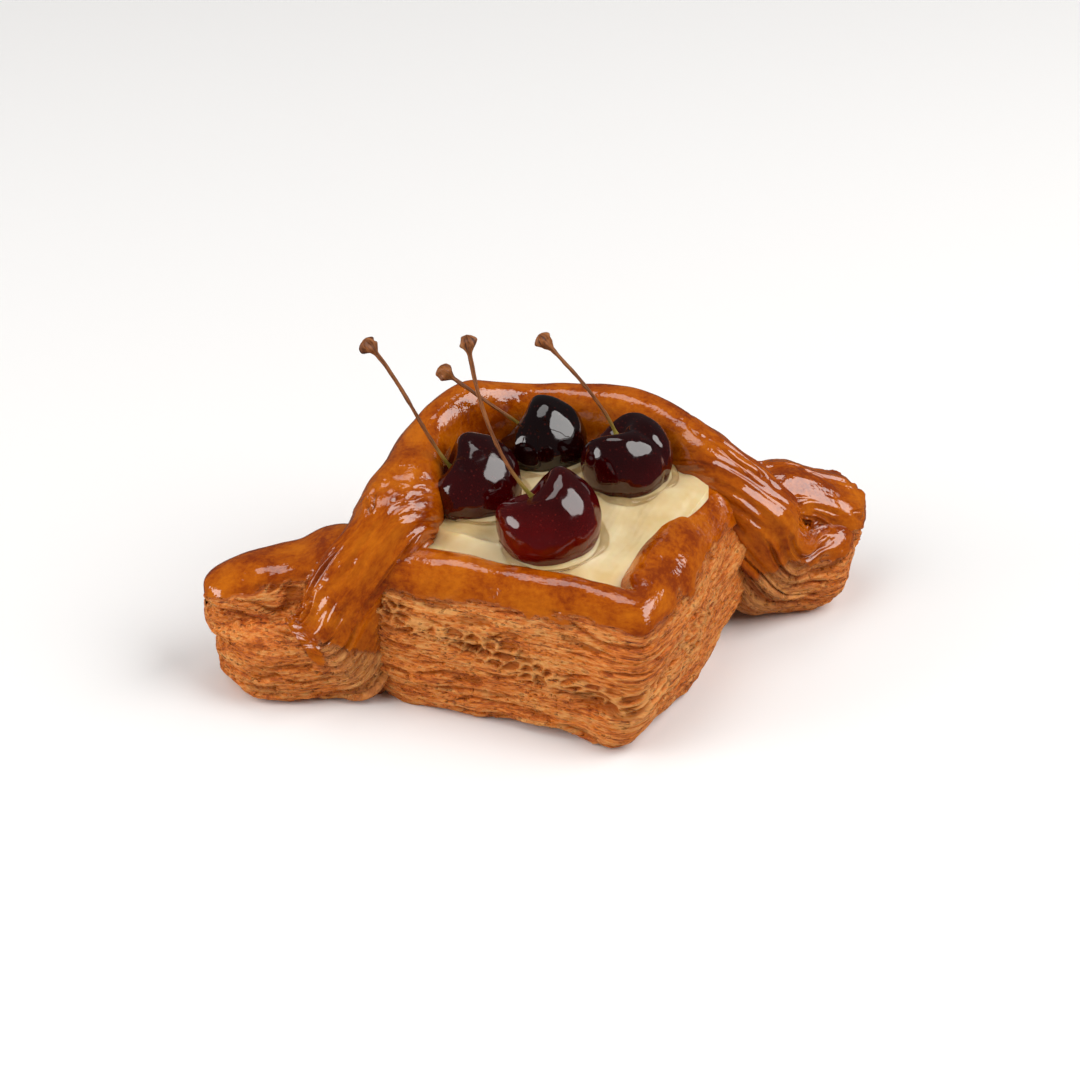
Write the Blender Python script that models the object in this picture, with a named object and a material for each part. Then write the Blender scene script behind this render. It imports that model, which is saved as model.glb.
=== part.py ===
"""Cherry danish pastry: a square of laminated dough whose two slit borders cross over each other.

The dough is one solid with a flat underside. Its rhombic base carries two strips. Each strip starts
in one ear and ends in the other: the front strip makes the two near walls, and the back strip climbs
over the front strip at both crossings and arches round the back. Custard fills the box that they make, and four cherries with
their stems sit in it. +X points to the right ear, -Y to the sharp front corner and +Z up; the origin
lies on the flat underside. All sizes are in millimetres and are turned into metres when a mesh is made.
"""

import math

import bmesh
import bpy
from mathutils import Vector

MM = 0.001

# Driving dimensions.
LEFT_REACH = 72.0
RIGHT_REACH = 78.0
FRONT_DEPTH = 41.0
BACK_DEPTH = 45.0
CROSSING = 45.0
BASE_TOP = 14.0
FRONT_RIM = 34.0
BACK_RIM = 47.5
FRONT_WALL = 13.0
BACK_WALL = 14.0
UNDERCUT = 2.0
CREAM_TOP = 36.0
CREAM_SHARE = 0.8
CHERRY_HEIGHT = 0.9
CHERRY_HOLLOW = 0.3
STEM_RADIUS = 0.6
PIECE_GAP = 0.3

# How finely the solids are faceted.
STRIP_SIDES = 18
RINGS_PER_STATION = 3
CAP_RINGS = 3
BASE_SEGMENTS = 48
BASE_RINGS = 12
CREAM_SEGMENTS = 32
CREAM_RINGS = 12
CHERRY_SEGMENTS = 18
CHERRY_RINGS = 13
STEM_SIDES = 6
STEM_RINGS = 22


def clear_scene():
    """Removes whatever the scene holds."""
    for thing in list(bpy.data.objects):
        bpy.data.objects.remove(thing)


def finish_material(name, color, roughness):
    """A plain dielectric finish of one colour."""
    material = bpy.data.materials.new(name)
    material.use_nodes = True
    shader = material.node_tree.nodes["Principled BSDF"]
    shader.inputs["Base Color"].default_value = (*color, 1.0)
    shader.inputs["Roughness"].default_value = roughness
    shader.inputs["Metallic"].default_value = 0.0
    return material


def named_object(name, mesh, material):
    """Puts a mesh in the scene as a named, smooth-shaded object."""
    mesh.name = name
    mesh.materials.clear()
    mesh.materials.append(material)
    mesh.shade_smooth()
    mesh.set_sharp_from_angle(angle=math.radians(50))
    made = bpy.data.objects.new(name, mesh)
    bpy.context.scene.collection.objects.link(made)
    return made


def mesh_of(bm):
    """Turns a bmesh in millimetres into a mesh in metres."""
    bmesh.ops.scale(bm, vec=(MM, MM, MM), verts=bm.verts)
    mesh = bpy.data.meshes.new("shape")
    bm.to_mesh(mesh)
    bm.free()
    return mesh


def outward(bm):
    """Faces all of a closed body's faces outwards and makes its mesh."""
    bmesh.ops.recalc_face_normals(bm, faces=bm.faces)
    if bm.calc_volume(signed=True) < 0:
        bmesh.ops.reverse_faces(bm, faces=bm.faces)
    return mesh_of(bm)


def signed_power(value, power):
    """The power of a value's size, with the value's sign."""
    return math.copysign(abs(value) ** power, value)


def spline_value(values, place):
    """A Catmull-Rom curve through equally spaced vectors, at a place from 0 to len(values) - 1."""
    first = min(int(place), len(values) - 2)
    t = place - first
    before = values[max(first - 1, 0)]
    start, end = values[first], values[first + 1]
    after = values[min(first + 2, len(values) - 1)]
    return 0.5 * (
        2 * start
        + t * (end - before)
        + t * t * (2 * before - 5 * start + 4 * end - after)
        + t * t * t * (3 * (start - end) + after - before)
    )


class Station:
    """One cross-section of a strip: its centre, and half its width and half its height as vectors."""

    def __init__(self, centre, across, rise):
        self.centre = Vector(centre)
        self.across = Vector(across)
        self.rise = Vector(rise)


def ring_places(stations, cap_length):
    """Where the rings of a strip lie: a place along its stations, and how much of its width each has."""
    last = len(stations) - 1
    start_share = cap_length / (stations[1].centre - stations[0].centre).length
    end_share = cap_length / (stations[last].centre - stations[last - 1].centre).length
    quarter = [0.5 * math.pi * i / CAP_RINGS for i in range(CAP_RINGS)]
    places = [(start_share * (1 - math.cos(a)), math.sin(a)) for a in quarter]
    count = RINGS_PER_STATION * last
    for i in range(count + 1):
        place = start_share + (last - start_share - end_share) * i / count
        places.append((place, 1.0))
    places += [(last - end_share * (1 - math.cos(a)), math.sin(a)) for a in reversed(quarter)]
    return places


def strip_body(stations, squareness, cap_length):
    """A closed, round-edged strip of dough swept through its stations.

    A grid is rolled into a tube: its columns run round the section and its rows are the rings. Both
    ends narrow to an upright crest, so the tube closes without a flat cap.
    """
    places = ring_places(stations, cap_length)
    bm = bmesh.new()
    bmesh.ops.create_grid(bm, x_segments=STRIP_SIDES, y_segments=len(places) - 1, size=1)
    for vertex in bm.verts:
        angle = math.pi * (vertex.co.x + 1)
        row = round((vertex.co.y + 1) / 2 * (len(places) - 1))
        place, width = places[row]
        height = 0.8 + 0.2 * width
        side = width * signed_power(math.cos(angle), 2 / squareness)
        lift = height * signed_power(math.sin(angle), 2 / squareness)
        centre = spline_value([s.centre for s in stations], place)
        across = spline_value([s.across for s in stations], place)
        rise = spline_value([s.rise for s in stations], place)
        vertex.co = centre + side * across + lift * rise
    bmesh.ops.remove_doubles(bm, verts=bm.verts, dist=0.01)
    return outward(bm)


def front_strip_stations():
    """The strip of the near walls, from the left ear's upper fold round the sharp front corner."""
    bottom = BASE_TOP - 3
    middle = 0.5 * (bottom + FRONT_RIM)
    half = 0.5 * (FRONT_RIM - bottom)
    wall = FRONT_WALL / 2
    left = Vector((-CROSSING + 10, -0.5, middle))
    corner = Vector((4.5, -FRONT_DEPTH + 1.3 * wall, middle))
    right = Vector((CROSSING - 7.5, 0.6, middle + 1))
    stations = [
        Station((-LEFT_REACH - 1, 19, 17), (0.5, -7.5, 0), (0, 0, 6.0)),
        Station((-LEFT_REACH + 9, 18, 17.8), (0, -9.5, 0), (0, 0, 9.0)),
        Station((-LEFT_REACH + 19, 16.5, 18.8), (-1.5, -10.5, 0), (0, 0, 10.5)),
        Station((-CROSSING - 0.5, 13, 21.5), (-3, -9.5, 0), (0, 0, 12.5)),
    ]
    outward_left, outward_right = Vector((-0.62, -0.78, 0)), Vector((0.63, -0.77, 0))
    for share, lean, extra in ((0.0, 0.0, 1.7), (0.33, 0.0, 1.2), (0.6, 0.3, 0.5), (0.82, 0.9, 0.0)):
        centre = left.lerp(corner, share) - extra * outward_left
        stations.append(Station(centre, (wall + extra) * outward_left, (lean, 0, half)))
    stations.append(Station(corner, (0, -1.3 * wall, 0), (1.8, 0, half)))
    for share, lean, extra in ((0.2, 1.2, 0.0), (0.43, 0.5, 1.2), (0.7, 0.0, 2.4), (1.0, 0.0, 3.2)):
        centre = corner.lerp(right, share) - 1.4 * extra * outward_right
        across = (1.25 * wall + extra) * outward_right
        stations.append(Station(centre, across, (lean, 0, half)))
    stations += [
        Station((CROSSING + 4, 10, 20), (4.5, -8, 0), (0, 0, 11.0)),
        Station((RIGHT_REACH - 18, 13, 19.6), (1, -10.5, 0), (0.5, 0, 10.0)),
        Station((RIGHT_REACH - 9, 12, 16.8), (0, -10.2, 0), (0.5, 0, 8.8)),
        Station((RIGHT_REACH - 1, 11.5, 15), (0, -7, 0), (0.5, 0, 7.0)),
    ]
    return stations


def back_strip_stations():
    """The strip that crosses over both ends of the front strip and arches round the back."""
    half = 0.5 * (BACK_RIM - BASE_TOP + 5)
    middle = BACK_RIM - half
    back = BACK_DEPTH - BACK_WALL / 2
    return [
        Station((-LEFT_REACH - 1.2, 13.5, 9), (0, 7.5, 0), (-1, 0, 6.5)),
        Station((-LEFT_REACH + 6.5, 9.5, 8.2), (0, 9.2, 0), (-0.8, 0, 8.8)),
        Station((-LEFT_REACH + 16.5, 6.8, 8.6), (0, 9, 0), (-3.5, 0, 9.6)),
        Station((-CROSSING - 3, 3.8, 10.8), (0, 9.2, 0), (-8.5, -1, 10.5)),
        Station((-CROSSING + 2.8, 4.5, 23), (-3.5, 7.5, 0.5), (-9.8, -3, 6.5)),
        Station((-CROSSING + 9.6, 7.4, 31), (-7.8, 5, -1), (-3.6, -3, 11)),
        Station((-CROSSING + 15.8, 16.4, 29), (-8.2, 5.4, 0), (0, -0.5, 16.0)),
        Station((-20.5, 29.8, middle), (-4.6, 5.6, 0), (0, 0, half)),
        Station((-8, back, middle + 0.5), (-2.2, 6.5, 0), (0, 0, half + 2.2)),
        Station((6, back + 0.8, middle), (1.0, 6.3, 0), (0, 0, half - 0.6)),
        Station((19.5, back - 5.5, middle), (4, 6.0, 0), (0, 0, half - 0.6)),
        Station((31.5, 22.5, 30), (5.4, 4.7, 0), (0, 0, 16.2)),
        Station((38.5, 10.5, 30), (6.8, 4, 0), (1, -1, 12.2)),
        Station((CROSSING + 0.5, 3, 24), (5, 6.5, -1), (7, -4, 7.5)),
        Station((CROSSING + 5.5, 2.5, 12), (1, 8.5, 0), (8, -1.5, 9.0)),
        Station((RIGHT_REACH - 20, 4.6, 9.8), (0, 8.8, 0), (4.5, 0, 10)),
        Station((RIGHT_REACH - 12, 6.5, 9.2), (0, 9.2, 0), (2.5, 0, 9.7)),
        Station((RIGHT_REACH - 6.5, 10, 10), (0, 7.5, 0), (2.5, 0, 8)),
    ]


def rhombus_reach(angle):
    """How far the base's outline lies from the centre in one direction: pointed in front, fuller behind."""
    x, y = math.cos(angle), math.sin(angle)
    width = CROSSING + 5 if x > 0 else CROSSING + 1
    depth = BACK_DEPTH - 1.5 if y > 0 else FRONT_DEPTH
    fullness = 1.45 if y > 0 else 1.12
    return (abs(x / width) ** fullness + abs(y / depth) ** fullness) ** (-1 / fullness)


def base_body():
    """The base: a thick slab of rhombic outline, with round-edged sides."""
    bm = bmesh.new()
    bmesh.ops.create_uvsphere(bm, u_segments=BASE_SEGMENTS, v_segments=BASE_RINGS, radius=1)
    half = 0.5 * (BASE_TOP + UNDERCUT)
    for vertex in bm.verts:
        angle = math.atan2(vertex.co.y, vertex.co.x)
        flat = math.hypot(vertex.co.x, vertex.co.y)
        spread = flat**0.4 if flat > 1e-6 else 0.0
        lift = signed_power(vertex.co.z, 0.5)
        reach = rhombus_reach(angle) * spread
        vertex.co = (reach * math.cos(angle), reach * math.sin(angle), half - UNDERCUT + half * lift)
    return outward(bm)


def helper(mesh, name):
    """An object that only takes part in a Boolean."""
    made = bpy.data.objects.new(name, mesh)
    made.hide_render = True
    made.display_type = "WIRE"
    bpy.context.scene.collection.objects.link(made)
    return made


def combined(mesh, others, operation):
    """The mesh after a Boolean with each of the other objects in turn."""
    worker = bpy.data.objects.new("worker", mesh)
    bpy.context.scene.collection.objects.link(worker)
    for other in others:
        step = worker.modifiers.new("step", "BOOLEAN")
        step.operation = operation
        step.object = other
    bpy.context.view_layer.update()
    evaluated = worker.evaluated_get(bpy.context.evaluated_depsgraph_get())
    result = bpy.data.meshes.new_from_object(evaluated)
    bpy.data.objects.remove(worker)
    return result


def box_below():
    """A box that takes away all that lies below the surface the pastry stands on."""
    bm = bmesh.new()
    bmesh.ops.create_cube(bm, size=1)
    bmesh.ops.scale(bm, vec=(4 * LEFT_REACH, 4 * LEFT_REACH, 40), verts=bm.verts)
    bmesh.ops.translate(bm, vec=(0, 0, -20), verts=bm.verts)
    return helper(mesh_of(bm), "ground_cutter")


def swollen(mesh, distance):
    """A copy of a mesh grown outwards along its normals, as a cutter that leaves a gap."""
    bm = bmesh.new()
    bm.from_mesh(mesh)
    bmesh.ops.remove_doubles(bm, verts=bm.verts, dist=0.02 * MM)
    bm.normal_update()
    for vertex in bm.verts:
        vertex.co += vertex.normal * vertex.calc_shell_factor() * distance * MM
    grown = bpy.data.meshes.new("grown")
    bm.to_mesh(grown)
    bm.free()
    return grown


def cream_blob():
    """The custard before it is shaped by what it touches: a low mound, lower towards the front corner."""
    bm = bmesh.new()
    bmesh.ops.create_uvsphere(bm, u_segments=CREAM_SEGMENTS, v_segments=CREAM_RINGS, radius=1)
    for vertex in bm.verts:
        angle = math.atan2(vertex.co.y, vertex.co.x)
        flat = math.hypot(vertex.co.x, vertex.co.y)
        spread = flat**0.75 if flat > 1e-6 else 0.0
        reach = CREAM_SHARE * rhombus_reach(angle) * spread
        x, y = reach * math.cos(angle), reach * math.sin(angle)
        lift = signed_power(vertex.co.z, 0.35)
        front = max(0.0, -y) / FRONT_DEPTH
        top = CREAM_TOP - 6.0 * front + 0.04 * x
        vertex.co = (x, y, BASE_TOP + (top - BASE_TOP) * lift if lift > 0 else BASE_TOP + 6 * lift)
    return outward(bm)


class Cherry:
    """One cherry: its centre, its widest radius, and the direction its stem leaves it in."""

    def __init__(self, name, centre, radius, axis, stem_points):
        self.name = name
        self.centre = Vector(centre)
        self.radius = radius
        self.axis = Vector(axis).normalized()
        self.stem_points = [Vector(point) for point in stem_points]

    def dimple(self):
        """The bottom of the hollow that the stem stands in."""
        return self.centre + self.axis * self.radius * (CHERRY_HEIGHT - CHERRY_HOLLOW)

    def body(self):
        """A heart-shaped body of revolution about the stem's direction."""
        bm = bmesh.new()
        bmesh.ops.create_uvsphere(
            bm, u_segments=CHERRY_SEGMENTS, v_segments=CHERRY_RINGS, radius=1
        )
        turn = Vector((0, 0, 1)).rotation_difference(self.axis)
        for vertex in bm.verts:
            x, y, z = vertex.co
            flat = math.hypot(x, y)
            widen = 1 + 0.07 * z
            lift = CHERRY_HEIGHT * z
            if z > 0:
                lift -= CHERRY_HOLLOW * math.exp(-((flat / 0.36) ** 2))
            shape = Vector((x * widen, y * widen, lift)) * self.radius
            vertex.co = self.centre + turn @ shape
        return outward(bm)

    def stem(self):
        """A thin curved stalk that swells into a knob where it was picked."""
        points = [self.dimple() + self.axis * (PIECE_GAP + 0.3), *self.stem_points]
        bm = bmesh.new()
        bmesh.ops.create_grid(bm, x_segments=STEM_SIDES, y_segments=STEM_RINGS - 1, size=1)
        last = len(points) - 1
        for vertex in bm.verts:
            angle = math.pi * (vertex.co.x + 1)
            share = (vertex.co.y + 1) / 2
            place = last * share
            centre = spline_value(points, place)
            ahead = spline_value(points, min(place + 0.05, last))
            behind = spline_value(points, max(place - 0.05, 0))
            along = (ahead - behind).normalized()
            side = along.cross(Vector((0.3, -0.8, 0.5))).normalized()
            other = along.cross(side)
            knob = math.exp(-(((share - 0.955) / 0.03) ** 2))
            foot = math.exp(-((share / 0.05) ** 2))
            thick = STEM_RADIUS + 1.3 * knob + 0.25 * foot
            if share < 1e-4 or share > 1 - 1e-4:
                thick = 0.0
            vertex.co = centre + thick * (math.cos(angle) * side + math.sin(angle) * other)
        bmesh.ops.remove_doubles(bm, verts=bm.verts, dist=0.01)
        return outward(bm)


def cherries():
    """The four cherries with the courses of their stems."""
    return [
        Cherry("front", (-2.9, -5.4, 37.6), 11.0, (-0.437, 0.423, 0.793),
               [(-13.2, 0.7, 56.2), (-15.9, 4.0, 64.6), (-16.1, 8.0, 73.1), (-16.9, 10.1, 78.6)]),
        Cherry("left", (-13.2, 14.2, 38.0), 10.5, (-0.718, 0.372, 0.572),
               [(-25.0, 19.3, 55.3), (-32.3, 24.4, 68.5), (-34.6, 25.7, 72.2)]),
        Cherry("back", (6.0, 24.0, 39.9), 9.5, (-0.632, 0.628, 0.439),
               [(-6.9, 31.0, 49.8), (-11.5, 33.2, 53.8), (-15.7, 34.9, 56.9)]),
        Cherry("right", (19.4, 8.7, 40.6), 10.1, (-0.270, 0.355, 0.871),
               [(11.0, 12.4, 58.9), (3.1, 16.4, 69.6), (1.5, 17.0, 71.4)]),
    ]


def largest_body(mesh):
    """Keeps the biggest of a mesh's separate bodies."""
    bm = bmesh.new()
    bm.from_mesh(mesh)
    left = set(bm.verts)
    islands = []
    while left:
        seed = min(left, key=lambda v: v.index)
        island = {seed}
        front = [seed]
        while front:
            for edge in front.pop().link_edges:
                for vertex in edge.verts:
                    if vertex not in island:
                        island.add(vertex)
                        front.append(vertex)
        left -= island
        islands.append(island)
    islands.sort(key=len)
    for island in islands[:-1]:
        bmesh.ops.delete(bm, geom=list(island), context="VERTS")
    bm.to_mesh(mesh)
    bm.free()
    return mesh


def main():
    """Builds every piece in order."""
    clear_scene()
    fruit = cherries()
    bodies = [cherry.body() for cherry in fruit]
    base = base_body()
    front = strip_body(front_strip_stations(), 3.2, 7)
    back = strip_body(back_strip_stations(), 3.0, 7)
    room = [helper(swollen(body, PIECE_GAP), "room_for_fruit") for body in bodies]
    walls = [helper(swollen(shape, PIECE_GAP), "room_for_dough") for shape in (base, front, back)]
    whole = combined(base, [helper(front, "front_strip"), helper(back, "back_strip")], "UNION")
    dough = largest_body(combined(whole, [box_below(), *room], "DIFFERENCE"))
    cream = largest_body(combined(cream_blob(), walls + room, "DIFFERENCE"))
    named_object("pastry", dough, finish_material("baked_dough", (0.46, 0.14, 0.03), 0.4))
    named_object("cream", cream, finish_material("custard", (0.66, 0.47, 0.24), 0.35))
    skin = finish_material("cherry_skin", (0.05, 0.002, 0.003), 0.12)
    stalk = finish_material("cherry_stalk", (0.16, 0.06, 0.025), 0.6)
    for cherry, body in zip(fruit, bodies):
        named_object("cherry_" + cherry.name, body, skin)
        named_object("stem_" + cherry.name, cherry.stem(), stalk)


main()
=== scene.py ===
"""Looks of a cherry danish: laminated dough with crossed borders, custard, and four cherries on stems.

The dough shows as two long strips and a base. Each strip is a finely divided skin swept through
cross-sections, rolled into a tube, and raised and sunk along its own layers, so that its leaves,
cracks, air pockets and wrinkles are real relief. All sizes are in millimetres until a mesh is
finished, when they become metres. +X points to the right ear, -Y to the sharp front corner, +Z up.
"""

import logging
import math
from dataclasses import dataclass, field
from enum import Enum

import bmesh
import bpy
import numpy as np
from mathutils import Matrix, Vector


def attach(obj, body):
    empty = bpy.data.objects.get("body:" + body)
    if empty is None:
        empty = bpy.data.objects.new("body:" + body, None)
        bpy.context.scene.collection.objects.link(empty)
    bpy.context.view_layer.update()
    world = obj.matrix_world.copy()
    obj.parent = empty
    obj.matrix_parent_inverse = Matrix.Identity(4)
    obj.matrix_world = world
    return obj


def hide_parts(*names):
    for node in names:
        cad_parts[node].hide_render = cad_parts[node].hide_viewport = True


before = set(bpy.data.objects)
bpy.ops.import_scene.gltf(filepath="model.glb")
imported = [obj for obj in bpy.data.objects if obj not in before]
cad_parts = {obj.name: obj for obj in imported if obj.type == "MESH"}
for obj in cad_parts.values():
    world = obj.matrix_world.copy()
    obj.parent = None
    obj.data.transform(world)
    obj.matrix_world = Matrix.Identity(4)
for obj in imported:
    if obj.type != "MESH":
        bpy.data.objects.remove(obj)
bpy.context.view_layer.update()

MM = 0.001
LOG = logging.getLogger("danish")

Color = tuple[float, float, float]
Point = tuple[float, float, float]


# ------------------------------------------------------------------ helpers


def smoothstep(low: float | np.ndarray, high: float | np.ndarray, value: np.ndarray) -> np.ndarray:
    """Rises smoothly from 0 to 1 as a value goes from low to high.

    Args:
        low: Where the rise starts.
        high: Where the rise ends.
        value: The values to map.

    Returns:
        The risen values, from 0 to 1.
    """
    t = np.clip((value - low) / (high - low), 0.0, 1.0)
    return t * t * (3.0 - 2.0 * t)


def signed_power(value: np.ndarray, power: float) -> np.ndarray:
    """The power of each value's size, with the value's own sign."""
    return np.sign(value) * np.abs(value) ** power


def smooth_run(values: np.ndarray, places: np.ndarray) -> np.ndarray:
    """Reads a Catmull-Rom curve through equally spaced rows of values.

    Args:
        values: One row for each station.
        places: Where to read, from 0 to the number of rows less 1.

    Returns:
        One row of values for each place.
    """
    last = len(values) - 1
    first = np.clip(places.astype(int), 0, last - 1)
    t = (places - first)[:, None]
    before = values[np.maximum(first - 1, 0)]
    start, end = values[first], values[first + 1]
    after = values[np.minimum(first + 2, last)]
    return 0.5 * (
        2 * start
        + t * (end - before)
        + t * t * (2 * before - 5 * start + 4 * end - after)
        + t * t * t * (3 * (start - end) + after - before)
    )


class Grain:
    """Seeded smooth noise in three directions, for relief that is worked out in code."""

    SIZE = 1 << 14

    def __init__(self, seed: int) -> None:
        """Draws the table of random values."""
        self.values = np.random.default_rng(seed).uniform(-1.0, 1.0, self.SIZE)

    def _hash(self, x: np.ndarray, y: np.ndarray, z: np.ndarray, salt: int = 0) -> np.ndarray:
        """The random value of each whole-number place."""
        mixed = (x * 73856093) ^ (y * 19349663) ^ (z * 83492791) ^ (salt * 49979693)
        return self.values[mixed & (self.SIZE - 1)]

    def at(self, x: np.ndarray, y: np.ndarray, z: np.ndarray) -> np.ndarray:
        """Smooth noise from about -1 to 1.

        Args:
            x: First coordinate, in noise cells.
            y: Second coordinate.
            z: Third coordinate.

        Returns:
            One value for each place.
        """
        corner = [np.floor(c).astype(np.int64) for c in (x, y, z)]
        part = [c - f for c, f in zip((x, y, z), corner)]
        fade = [t * t * t * (t * (6 * t - 15) + 10) for t in part]
        total = np.zeros_like(part[0])
        for i in (0, 1):
            for j in (0, 1):
                for k in (0, 1):
                    weight = (
                        (fade[0] if i else 1 - fade[0])
                        * (fade[1] if j else 1 - fade[1])
                        * (fade[2] if k else 1 - fade[2])
                    )
                    total += weight * self._hash(corner[0] + i, corner[1] + j, corner[2] + k)
        return 1.4 * total

    def layered(self, x: np.ndarray, y: np.ndarray, z: np.ndarray, octaves: int) -> np.ndarray:
        """Noise with finer and fainter noise laid over it, once for each octave.

        Args:
            x: First coordinate, in noise cells.
            y: Second coordinate.
            z: Third coordinate.
            octaves: How many layers of noise are added.

        Returns:
            One value for each place, from about -1 to 1.
        """
        total = np.zeros_like(x)
        strength = 1.0
        for octave in range(octaves):
            step = 2.03**octave
            total += strength * self.at(x * step + 17.3 * octave, y * step, z * step - 9.1 * octave)
            strength *= 0.5
        return total / (2.0 - 2.0 * strength)

    def cells(self, x: np.ndarray, y: np.ndarray, z: np.ndarray) -> tuple[np.ndarray, np.ndarray]:
        """Distances to the nearest and second nearest of scattered points, as in a honeycomb.

        Args:
            x: First coordinate, in cells.
            y: Second coordinate.
            z: Third coordinate.

        Returns:
            The nearest and the second nearest distance.
        """
        corner = [np.floor(c).astype(np.int64) for c in (x, y, z)]
        nearest = np.full(x.shape, 9.0)
        second = np.full(x.shape, 9.0)
        for i in (-1, 0, 1):
            for j in (-1, 0, 1):
                for k in (-1, 0, 1):
                    cell = (corner[0] + i, corner[1] + j, corner[2] + k)
                    spot = [c + 0.5 + 0.45 * self._hash(*cell, salt + 1) for salt, c in enumerate(cell)]
                    away = np.sqrt((spot[0] - x) ** 2 + (spot[1] - y) ** 2 + (spot[2] - z) ** 2)
                    second = np.minimum(second, np.maximum(nearest, away))
                    nearest = np.minimum(nearest, away)
        return nearest, second


class Lattice:
    """A bmesh grid whose rows and columns are known, so that it can be shaped as a whole."""

    def __init__(self, columns: int, rows: int) -> None:
        """Makes the grid.

        Args:
            columns: Cells round or across.
            rows: Cells along.
        """
        self.columns, self.rows = columns, rows
        self.bm = bmesh.new()
        bmesh.ops.create_grid(self.bm, x_segments=columns, y_segments=rows, size=1.0)
        places = np.array([vertex.co[:] for vertex in self.bm.verts])
        self.column = np.rint((places[:, 0] + 1) / 2 * columns).astype(int)
        self.row = np.rint((places[:, 1] + 1) / 2 * rows).astype(int)

    def finish(
        self,
        name: str,
        points: np.ndarray,
        numbers: dict[str, np.ndarray],
        vectors: dict[str, np.ndarray],
        weld: float = 0.004,
    ) -> bpy.types.Object:
        """Moves the grid's vertices, welds them, and makes the piece.

        Args:
            name: The piece's name.
            points: Places in millimetres, as rows by columns by 3.
            numbers: Named values for the finish, as rows by columns.
            vectors: Named vectors for the finish, as rows by columns by 3.
            weld: How near vertices are merged, in millimetres.

        Returns:
            The piece, in metres.
        """
        for vertex, row, column in zip(self.bm.verts, self.row, self.column):
            vertex.co = points[row, column]
        for key, values in numbers.items():
            layer = self.bm.verts.layers.float.new(key)
            for vertex, value in zip(self.bm.verts, values[self.row, self.column].tolist()):
                vertex[layer] = value
        for key, values in vectors.items():
            layer = self.bm.verts.layers.float_vector.new(key)
            for vertex, value in zip(self.bm.verts, values[self.row, self.column].tolist()):
                vertex[layer] = value
        bmesh.ops.remove_doubles(self.bm, verts=self.bm.verts, dist=weld)
        if "crust" in numbers:
            crust = self.bm.verts.layers.float["crust"]
            for face in self.bm.faces:
                share = sum(vertex[crust] for vertex in face.verts) / len(face.verts)
                face.material_index = int(share > 0.55)
        return finished_piece(name, self.bm)


def finished_piece(name: str, bm: bmesh.types.BMesh) -> bpy.types.Object:
    """Turns a bmesh in millimetres into a smooth piece in metres, facing outwards.

    Args:
        name: The piece's name.
        bm: The shape, which is used up.

    Returns:
        The new object, at the origin.
    """
    bmesh.ops.recalc_face_normals(bm, faces=bm.faces)
    if bm.calc_volume(signed=True) < 0:
        bmesh.ops.reverse_faces(bm, faces=bm.faces)
    bmesh.ops.scale(bm, vec=(MM, MM, MM), verts=bm.verts)
    mesh = bpy.data.meshes.new(name)
    bm.to_mesh(mesh)
    bm.free()
    mesh.shade_smooth()
    piece = bpy.data.objects.new(name, mesh)
    bpy.context.scene.collection.objects.link(piece)
    return piece


def grid_normals(points: np.ndarray, rolled: bool) -> np.ndarray:
    """Unit normals of a shaped grid.

    Args:
        points: Places, as rows by columns by 3.
        rolled: True if the last column meets the first.

    Returns:
        One unit vector for each place.
    """
    if rolled:
        inner = points[:, :-1]
        ring = np.roll(inner, -1, axis=1) - np.roll(inner, 1, axis=1)
        ring = np.concatenate([ring, ring[:, :1]], axis=1)
    else:
        ring = np.gradient(points, axis=1)
    along = np.gradient(points, axis=0)
    normals = np.cross(ring, along)
    return normals / np.maximum(np.linalg.norm(normals, axis=2, keepdims=True), 1e-9)


# ----------------------------------------------------------------- finishes


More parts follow.
